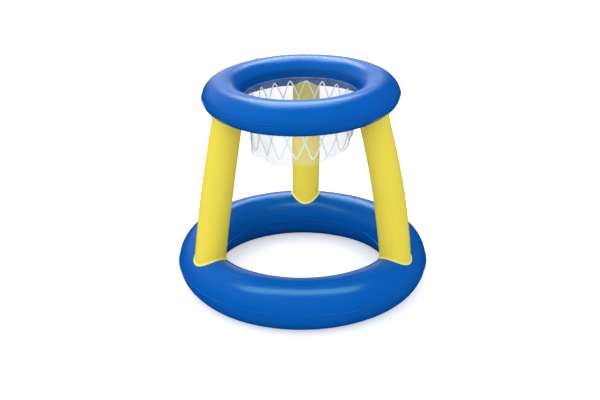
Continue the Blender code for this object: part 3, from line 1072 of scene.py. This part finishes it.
def makeStem(name):
    shape = valveShape
    radius, edge, fine = shape["collarRadius"], shape["edge"], shape["fineEdge"]
    outline = (
        (shape["bore"], shape["rimTop"]),
        (radius - edge, shape["rimTop"]),
        (radius, shape["rimTop"] - edge),
        (radius, shape["rimBottom"] + fine),
        (radius - fine, shape["rimBottom"]),
        (shape["stemRadius"], shape["rimBottom"]),
        (shape["stemRadius"], shape["stopTop"]),
        (shape["stopRadius"] - fine, shape["stopTop"]),
        (shape["stopRadius"], shape["stopTop"] - edge),
        (shape["stopRadius"], shape["stopBottom"]),
        (shape["bore"], shape["stopBottom"]),
    )
    stem = latheRings(name, outline, True)
    half = shape["strapWidth"] / 2
    addStrap(
        stem, (shape["stemRadius"], -half, shape["rimBottom"] + fine),
        (shape["capHinge"] + shape["hingeOverlap"], half, shape["rimTop"] - fine),
    )
    return stem


def makeCap(name):
    shape = valveShape
    radius, edge, fine = shape["collarRadius"], shape["edge"], shape["fineEdge"]
    top, bottom = shape["capTop"], shape["capBottom"]
    outline = (
        (shape["plugTip"] - shape["wideEdge"], shape["plugBottom"]),
        (shape["plugTip"], shape["plugBottom"] + edge),
        (shape["plugRadius"] - edge, (bottom + shape["plugBottom"]) / 2),
        (shape["plugRadius"], bottom - shape["wideEdge"]),
        (shape["plugRadius"], bottom),
        (radius - fine, bottom),
        (radius, bottom + fine),
        (radius, top - edge),
        (radius - edge, top),
        (shape["dishRadius"], top),
        (shape["dishRadius"] - edge, top - fine),
        (shape["dishMiddle"], top - edge),
    )
    cap = latheRings(name, outline, False)
    for start, end in (
        (-shape["tabReach"], -shape["strapStart"]), (shape["strapStart"], shape["capHinge"])
    ):
        addFlatStrap(
            cap, start, end, (bottom + top) / 2, shape["strapWidth"], shape["strapThickness"]
        )
    return cap


def makeFlap(name):
    shape = valveShape
    radius, edge = shape["flapRadius"], shape["flapEdge"]
    top, bottom = shape["flapTop"], shape["flapBottom"]
    outline = (
        (radius - edge, bottom), (radius, bottom + edge), (radius, top - edge), (radius - edge, top)
    )
    flap = latheRings(name, outline, False)
    addFlatStrap(
        flap, shape["flapTabStart"], shape["flapHinge"], (bottom + top) / 2,
        shape["flapTabWidth"], shape["flapTabThickness"],
    )
    return flap


valveLook = {
    "shade": (0.66, 0.72, 0.78),
    "light": (0.82, 0.85, 0.88),
    "cloudScale": 120.0,
    "wearScale": 600.0,
    "wearAmount": 0.15,
    "roughness": 0.28,
    "reliefDepth": 0.00003,
    "reliefStrength": 0.3,
}


def makeValveMaterial():
    # Milky moulded vinyl, a little cloudy
    material, tree, shader = newMaterial("valvePlastic")
    look = valveLook
    place = addNode(tree, "TexCoord").outputs["Object"]
    cloud = addNoise(tree, place, look["cloudScale"], 3)
    milk = addColours(tree, cloud, look["shade"], look["light"])
    tree.links.new(milk, shader.inputs["Base Color"])
    wear = addNoise(tree, place, look["wearScale"], 2)
    worn = addMath(tree, "MULTIPLY", wear, look["wearAmount"])
    dull = addMath(tree, "ADD", worn, look["roughness"])
    tree.links.new(dull, shader.inputs["Roughness"])
    relief = addRelief(tree, wear, look["reliefDepth"], look["reliefStrength"])
    tree.links.new(relief, shader.inputs["Normal"])
    return material


def cutPanelHole(panel, place):
    deselectAll()
    bpy.ops.mesh.primitive_cylinder_add(
        vertices=valveShape["holeSides"], radius=valveShape["holeRadius"],
        depth=valveShape["holeDepth"],
    )
    cutter = newPiece("cutter")
    cutter.data.transform(place)
    cutWith(panel, cutter)


valvePlastic = makeValveMaterial()
for valveName, valve in valves.items():
    place = valveFrame(valveName)
    cutPanelHole(valve["panel"], place)
    flange = makeFlange(valveName + "ValveFlange", valve, place)
    finishPiece(flange, valvePlastic, "valve_plastic", "float", valveName + "_valve_flange")
    for part, make in (("Stem", makeStem), ("Cap", makeCap), ("Flap", makeFlap)):
        piece = make(valveName + "Valve" + part)
        piece.data.transform(place)
        node = valveName + "_valve_" + part.lower()
        finishPiece(piece, valvePlastic, "valve_plastic", valveName + "_" + part.lower(), node)
print("Valves fitted")


# Stage: a white floor, soft light all round, panels that only gloss sees, and three lamps

stageSet = {
    "floorSize": 30.0,
    "floorDrop": 0.0004,
    "floorGlow": 0.46,
    "floorColour": 0.98,
    "filmDimming": 0.33,
    "bounceColour": 0.70,
    "worldLevel": 1.02,
    "worldTilt": (-0.28, -0.26),
    "panelSides": (-0.42, -0.20, 0.06, 0.32),
    "panelHeights": (30, 42, 62, 92),
    "panelLevel": 14.0,
    "backdropHeights": (-10, -5, 28, 44),
    "backdropLevel": 1.0,
    "leftSides": (0.0, -0.5),
    "leftHeights": (0.0, 0.4),
    "leftLevel": 0.75,
    "roomLevel": 0.03,
    "cardPlace": (0, -0.05, 0.42),
    "cardSize": (0.50, 0.50),
}
lamps = {
    "overheadSoftbox": {
        "place": (-0.15, 0.35, 2.0), "aim": (0, 0, 0.3), "size": (1.5, 1.0),
        "radiance": 0.4, "diffuse": True, "lights": [],
    },
    "frontStrip": {
        "place": (-0.15, -0.82, 1.5), "aim": (-0.15, -0.30, 0.1), "size": (2.8, 0.56),
        "radiance": 13.0, "diffuse": False, "lights": [baseTop, baseBottom],
    },
    "innerFill": {
        "place": (0, -1.2, 0.5), "aim": (0, 0.25, 0.28), "size": (0.5, 0.5),
        "radiance": 7.0, "diffuse": True,
        "lights": [bpy.data.objects["rearPost"], film, *printLines],
    },
}


def seenDirectly(tree):
    # 1 for what the camera sees by itself or through clear film
    path = addNode(tree, "LightPath").outputs
    return addMath(tree, "MAXIMUM", path["Is Camera Ray"], path["Is Transmission Ray"])


def makeFloor():
    # Brighter than white to the camera, black in gloss, and pale to the light that it bounces
    deselectAll()
    bpy.ops.mesh.primitive_plane_add(
        size=stageSet["floorSize"], location=(0, 0, -stageSet["floorDrop"])
    )
    floor = newPiece("studioFloor")
    material, tree, shader = newMaterial("studioFloor")
    tree.nodes.remove(shader)
    out = tree.nodes["Material Output"]
    path = addNode(tree, "LightPath").outputs
    # So bright a floor would hide the film, so it is dimmer where it is seen through it
    through = addMath(tree, "MINIMUM", path["Transparent Depth"], 1.0)
    dimming = addMath(tree, "MULTIPLY", through, stageSet["filmDimming"])
    shown = addMath(tree, "MULTIPLY", seenDirectly(tree), addMath(tree, "SUBTRACT", 1.0, dimming))
    white, bounce = addNode(tree, "BsdfDiffuse"), addNode(tree, "BsdfDiffuse")
    glow = addNode(tree, "Emission")
    colour = addMath(tree, "MULTIPLY", shown, stageSet["floorColour"])
    strength = addMath(tree, "MULTIPLY", shown, stageSet["floorGlow"])
    bounce.inputs["Color"].default_value = (*[stageSet["bounceColour"]] * 3, 1)
    seen, choose = addNode(tree, "AddShader"), addNode(tree, "MixShader")
    for start, end in (
        (colour, white.inputs["Color"]),
        (strength, glow.inputs["Strength"]),
        (white.outputs[0], seen.inputs[0]),
        (glow.outputs[0], seen.inputs[1]),
        (addMath(tree, "MAXIMUM", seenDirectly(tree), path["Is Glossy Ray"]), choose.inputs[0]),
        (bounce.outputs[0], choose.inputs[1]),
        (seen.outputs[0], choose.inputs[2]),
        (choose.outputs[0], out.inputs["Surface"]),
    ):
        tree.links.new(start, end)
    floor.data.materials.append(material)


def makeCard():
    # A black card that only gloss sees; it keeps the panel off the front of the base ring
    deselectAll()
    bpy.ops.mesh.primitive_plane_add(size=1, location=stageSet["cardPlace"])
    card = newPiece("studioCard")
    card.scale = (*stageSet["cardSize"], 1)
    applyPlace(card)
    material, _, shader = newMaterial("studioCard")
    setInputs(shader, {"Base Color": (0, 0, 0, 1), "Specular IOR Level": 0})
    card.data.materials.append(material)
    card.visible_camera = card.visible_diffuse = card.visible_transmission = False
    card.visible_shadow = card.visible_volume_scatter = False


def riseBetween(tree, value, start, end):
    # 0 up to the start and 1 from the end on; the other way round if the start is higher
    rise = addNode(tree, "MapRange", interpolation_type="SMOOTHSTEP")
    setInputs(rise, {
        "From Min": min(start, end), "From Max": max(start, end),
        "To Min": float(start > end), "To Max": float(start < end),
    })
    tree.links.new(value, rise.inputs["Value"])
    return rise.outputs["Result"]


def windowOf(tree, value, window):
    # 1 between the window's two middle values, fading to 0 at its outer ones
    low, lowFull, highFull, high = window
    rising = riseBetween(tree, value, low, lowFull)
    return addMath(tree, "MULTIPLY", rising, riseBetween(tree, value, high, highFull))


def makeWorld():
    # White to the camera, soft light all round, and in gloss a bright panel behind the part
    world = bpy.data.worlds.new("studioWorld")
    bpy.context.scene.world = world
    world.cycles.sampling_method = "NONE"
    world.use_nodes = True
    tree = world.node_tree
    tree.nodes.clear()
    light, white, room = (addNode(tree, "Background") for _ in range(3))
    for background in (light, white, room):
        background.inputs["Color"].default_value = (1, 1, 1, 1)
    direction = addNode(tree, "SeparateXYZ")
    tree.links.new(addNode(tree, "TexCoord").outputs["Generated"], direction.inputs[0])
    across, along, up = direction.outputs

    sideTilt, frontTilt = stageSet["worldTilt"]
    fromSide = addMath(tree, "MULTIPLY", across, sideTilt)
    fromFront = addMath(tree, "MULTIPLY", along, frontTilt)
    tilted = addMath(tree, "ADD", fromSide, fromFront)
    level = addMath(tree, "ADD", tilted, stageSet["worldLevel"])

    height = addMath(tree, "ARCTAN2", up, along)
    sides = windowOf(tree, across, stageSet["panelSides"])
    shown = []
    for name in ("panel", "backdrop"):
        heights = [radians(angle) for angle in stageSet[name + "Heights"]]
        inside = addMath(tree, "MULTIPLY", sides, windowOf(tree, height, heights))
        shown.append(addMath(tree, "MULTIPLY", inside, stageSet[name + "Level"]))
    left = riseBetween(tree, across, *stageSet["leftSides"])
    left = addMath(tree, "MULTIPLY", left, stageSet["leftLevel"])
    left = addMath(tree, "MULTIPLY", left, riseBetween(tree, up, *stageSet["leftHeights"]))
    dim = addMath(tree, "ADD", left, stageSet["roomLevel"])
    total = addMath(tree, "ADD", addMath(tree, "ADD", *shown), dim)

    gloss, seen = addNode(tree, "MixShader"), addNode(tree, "MixShader")
    for start, end in (
        (level, light.inputs["Strength"]),
        (total, room.inputs["Strength"]),
        (addNode(tree, "LightPath").outputs["Is Glossy Ray"], gloss.inputs[0]),
        (light.outputs[0], gloss.inputs[1]),
        (room.outputs[0], gloss.inputs[2]),
        (seenDirectly(tree), seen.inputs[0]),
        (gloss.outputs[0], seen.inputs[1]),
        (white.outputs[0], seen.inputs[2]),
        (seen.outputs[0], addNode(tree, "OutputWorld").inputs["Surface"]),
    ):
        tree.links.new(start, end)


def makeLamp(name, lamp):
    # A lamp may light chosen pieces only, and only their gloss
    deselectAll()
    bpy.ops.object.light_add(type="AREA", location=lamp["place"])
    light = bpy.context.object
    light.name = name
    width, length = lamp["size"]
    light.data.shape = "RECTANGLE"
    light.data.size = width
    light.data.size_y = length
    light.data.energy = lamp["radiance"] * pi * width * length
    towards = Vector(lamp["aim"]) - Vector(lamp["place"])
    light.rotation_euler = towards.to_track_quat("-Z", "Y").to_euler()
    light.visible_camera = False
    light.visible_diffuse = lamp["diffuse"]
    if lamp["lights"]:
        lit = bpy.data.collections.new(name + "Pieces")
        for piece in lamp["lights"]:
            lit.objects.link(piece)
        light.light_linking.receiver_collection = lit


makeFloor()
makeCard()
makeWorld()
for lampName, lamp in lamps.items():
    makeLamp(lampName, lamp)
bpy.context.scene.view_settings.view_transform = "Standard"
print("Stage lit")

deselectAll()
